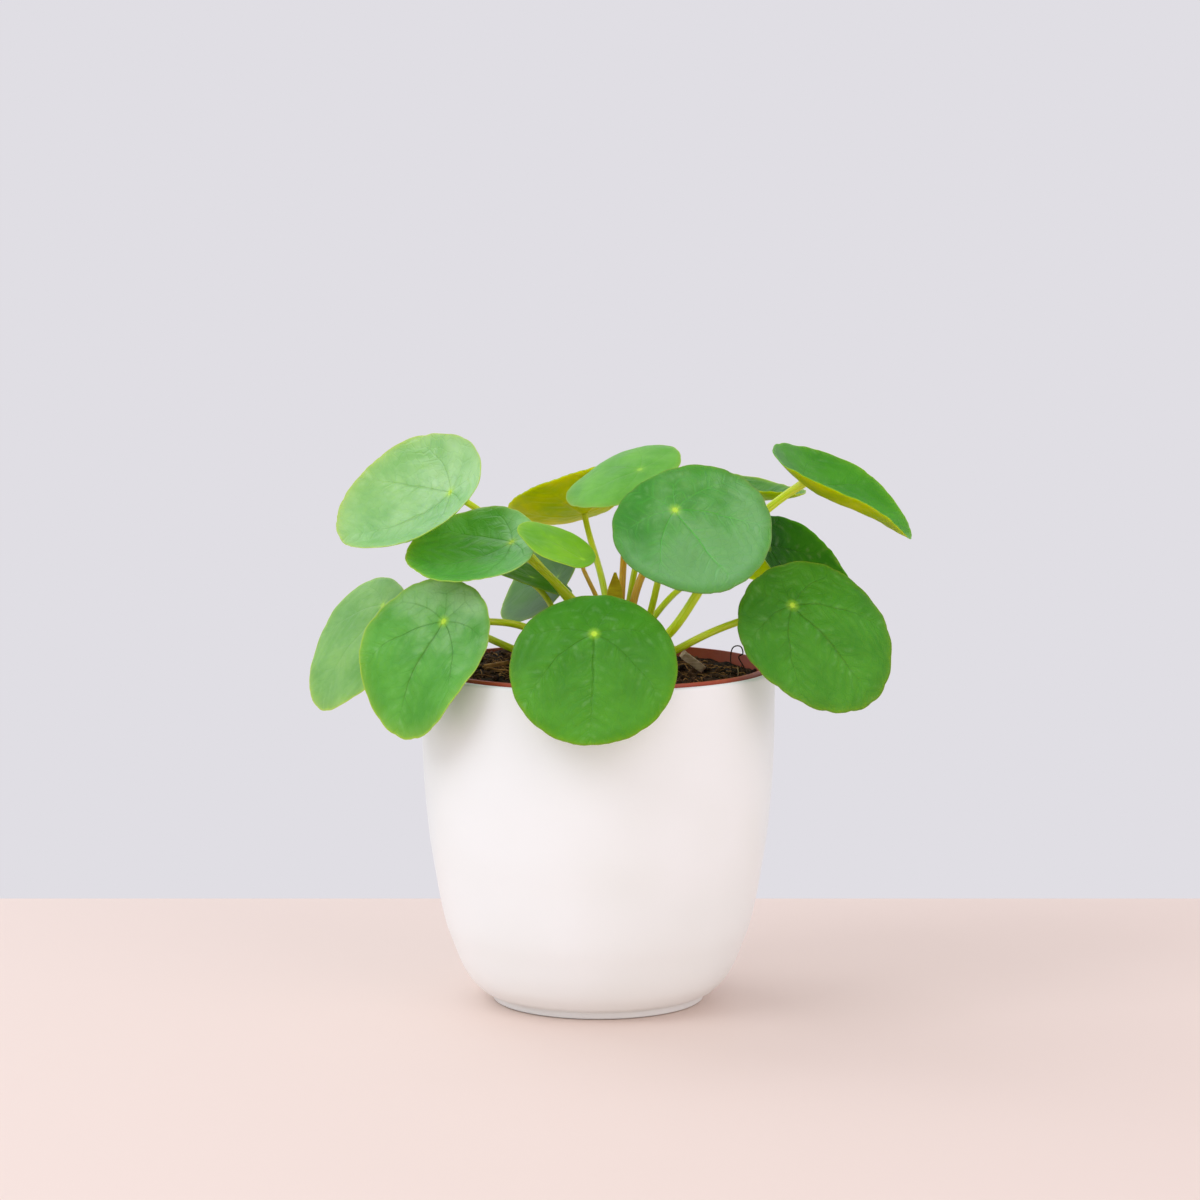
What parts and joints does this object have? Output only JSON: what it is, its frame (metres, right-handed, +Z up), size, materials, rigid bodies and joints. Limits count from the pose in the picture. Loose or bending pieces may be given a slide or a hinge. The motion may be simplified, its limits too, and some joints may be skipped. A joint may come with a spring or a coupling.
{
  "type": "potted pilea plant",
  "caption": "Young round-leaved pilea on long petioles, rooted in a terracotta coloured nursery pot that stands in a white cover pot.",
  "frame": {"origin": "middle of the cover pot's underside, on the table", "axes": "+Z up; -Y is the front, the side seen in the picture; +X is to its right"},
  "size_m": [0.2331, 0.1688, 0.2191],
  "materials": {
    "white_glaze": "satin white ceramic",
    "terracotta_plastic": "dull brick red",
    "peat": "dark damp peat with bark bits",
    "woody_stem": "scarred brownish green stem",
    "bark": "weathered grey-beige bark",
    "dry_scale": "papery olive brown",
    "green_petiole": "smooth yellow-green stalk",
    "brown_petiole": "smooth pinkish brown stalk",
    "leaf_blade": "soft satin green with sunken veins"
  },
  "bodies": {
    "root": {"cover_pot": "white_glaze", "nursery_pot": "terracotta_plastic", "soil": "peat", "trunk": "woody_stem", "stipule": "dry_scale", "bark_chip_right": "bark", "bark_chip_left": "bark", "leaf_upper_left": "leaf_blade", "petiole_upper_left": "green_petiole", "leaf_mid_left": "leaf_blade", "petiole_mid_left": "green_petiole", "leaf_young": "leaf_blade", "petiole_young": "brown_petiole", "leaf_far_left": "leaf_blade", "petiole_far_left": "green_petiole", "leaf_lower_left": "leaf_blade", "petiole_lower_left": "green_petiole", "leaf_front": "leaf_blade", "petiole_front": "green_petiole", "leaf_back_left": "leaf_blade", "petiole_back_left": "green_petiole", "leaf_under_left": "leaf_blade", "petiole_under_left": "green_petiole", "leaf_back_top_left": "leaf_blade", "petiole_back_top_left": "green_petiole", "leaf_back_top": "leaf_blade", "petiole_back_top": "brown_petiole", "leaf_centre": "leaf_blade", "petiole_centre": "green_petiole", "leaf_back_right": "leaf_blade", "petiole_back_right": "brown_petiole", "leaf_upper_right": "leaf_blade", "petiole_upper_right": "green_petiole", "leaf_mid_right": "leaf_blade", "petiole_mid_right": "green_petiole", "leaf_lower_right": "leaf_blade", "petiole_lower_right": "green_petiole", "leaf_hidden_back": "leaf_blade", "petiole_hidden_back": "green_petiole"}
  },
  "joints": []
}
